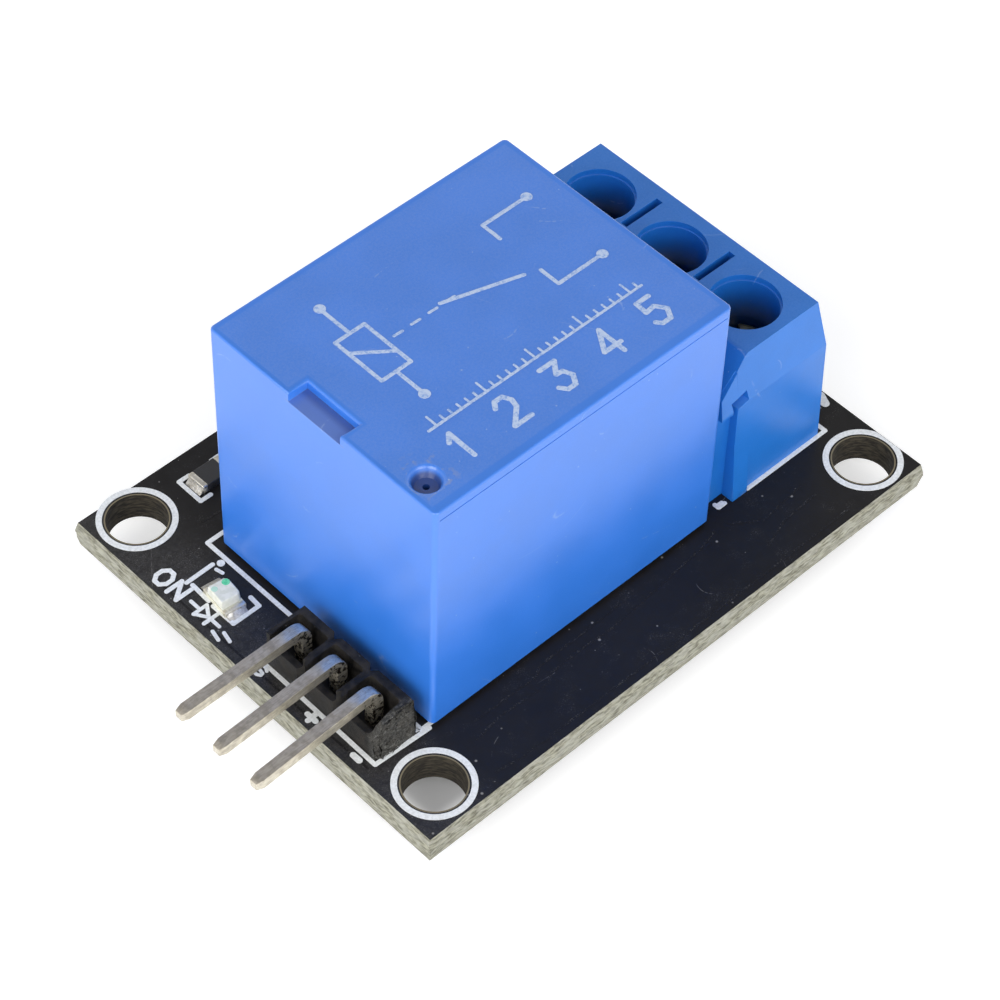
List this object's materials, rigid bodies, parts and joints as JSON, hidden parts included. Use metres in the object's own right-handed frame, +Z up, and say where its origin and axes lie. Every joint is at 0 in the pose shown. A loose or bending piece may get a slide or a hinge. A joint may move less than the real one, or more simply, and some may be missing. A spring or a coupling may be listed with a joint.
{
  "type": "relay module board",
  "caption": "Small circuit board that carries a boxed relay, a three-way screw terminal, a bent pin header, a status light and a few surface-mounted parts.",
  "frame": {"origin": "centre of the part's footprint, at the level of the trimmed lead ends under the board", "axes": "+X along the board from the pin header to the screw terminal, +Y across the board, +Z up out of the component side"},
  "size_m": [0.0398, 0.0264, 0.0191],
  "materials": {
    "solder_mask_board": "black solder mask on glass-fibre laminate",
    "white_ink": "matte printed ink",
    "black_nylon": "matte, torn at one end",
    "header_tin": "dull tin over brass",
    "terminal_blue": "satin moulded blue",
    "clamp_metal": "plated brass",
    "plate_steel": "plated steel",
    "screw_steel": "yellow zinc plated steel",
    "relay_blue": "satin moulded blue",
    "bobbin_nylon": "off-white nylon",
    "enamel_wire": "enamelled copper wire",
    "magnet_iron": "nickel plated soft iron",
    "contact_bronze": "spring bronze and tinned brass",
    "contact_silver": "silver alloy",
    "lead_tin": "tinned metal",
    "led_epoxy": "cloudy clear epoxy",
    "led_laminate": "white laminate",
    "chip_black": "black coating and moulding",
    "solder": "bright soft solder"
  },
  "bodies": {
    "board": {"circuit_board": "solder_mask_board", "silkscreen": "white_ink", "header_spacer": "black_nylon", "header_pin_1": "header_tin", "header_pin_2": "header_tin", "header_pin_3": "header_tin", "terminal_housing": "terminal_blue", "wire_clamp_1": "clamp_metal", "wire_clamp_2": "clamp_metal", "wire_clamp_3": "clamp_metal", "relay_cover": "relay_blue", "relay_base": "relay_blue", "coil_bobbin": "bobbin_nylon", "coil_winding": "enamel_wire", "iron_core": "magnet_iron", "relay_yoke": "magnet_iron", "open_terminal": "contact_bronze", "open_contact": "contact_silver", "closed_terminal": "contact_bronze", "closed_contact": "contact_silver", "common_terminal": "contact_bronze", "coil_pin_1": "lead_tin", "coil_pin_2": "lead_tin", "led_base": "led_laminate", "led_lens": "led_epoxy", "led_contacts": "lead_tin", "resistor_1_body": "chip_black", "resistor_1_caps": "lead_tin", "resistor_2_body": "chip_black", "resistor_2_caps": "lead_tin", "transistor_body": "chip_black", "transistor_leads": "lead_tin", "diode_body": "chip_black", "diode_leads": "lead_tin", "surface_solder": "solder", "header_solder": "solder", "terminal_solder": "solder", "relay_solder": "solder"},
    "armature": {"relay_armature": "magnet_iron", "contact_spring": "contact_bronze", "moving_contact": "contact_silver"},
    "plate_1": {"clamp_plate_1": "plate_steel"},
    "screw_1": {"clamp_screw_1": "screw_steel"},
    "plate_2": {"clamp_plate_2": "plate_steel"},
    "screw_2": {"clamp_screw_2": "screw_steel"},
    "plate_3": {"clamp_plate_3": "plate_steel"},
    "screw_3": {"clamp_screw_3": "screw_steel"}
  },
  "joints": [
    {"name": "armature_swing", "type": "hinge", "parent": "board", "child": "armature", "pos_m": [-0.00793, -0.00064, 0.0144], "axis": [0, 1, 0], "range_deg": [0, 4.2], "stiffness_Nm_per_rad": 0.004, "springref_deg": -17.19},
    {"name": "plate_1_travel", "type": "slide", "parent": "board", "child": "plate_1", "axis": [0, 0, -1], "range_m": [0, 0.0012]},
    {"name": "screw_1_turn", "type": "hinge", "parent": "plate_1", "child": "screw_1", "pos_m": [0.01387, -0.00502, 0.0083], "axis": [0, 0, -1], "range_deg": [0, 864]},
    {"name": "plate_2_travel", "type": "slide", "parent": "board", "child": "plate_2", "axis": [0, 0, -1], "range_m": [0, 0.0012]},
    {"name": "screw_2_turn", "type": "hinge", "parent": "plate_2", "child": "screw_2", "pos_m": [0.01387, 0.00006, 0.0083], "axis": [0, 0, -1], "range_deg": [0, 864]},
    {"name": "plate_3_travel", "type": "slide", "parent": "board", "child": "plate_3", "axis": [0, 0, -1], "range_m": [0, 0.0012]},
    {"name": "screw_3_turn", "type": "hinge", "parent": "plate_3", "child": "screw_3", "pos_m": [0.01387, 0.00514, 0.0083], "axis": [0, 0, -1], "range_deg": [0, 864]}
  ],
  "couplings": [
    {"joint": "screw_1_turn", "follows": "plate_1_travel", "rad_per_m": 12566},
    {"joint": "screw_2_turn", "follows": "plate_2_travel", "rad_per_m": 12566},
    {"joint": "screw_3_turn", "follows": "plate_3_travel", "rad_per_m": 12566}
  ]
}
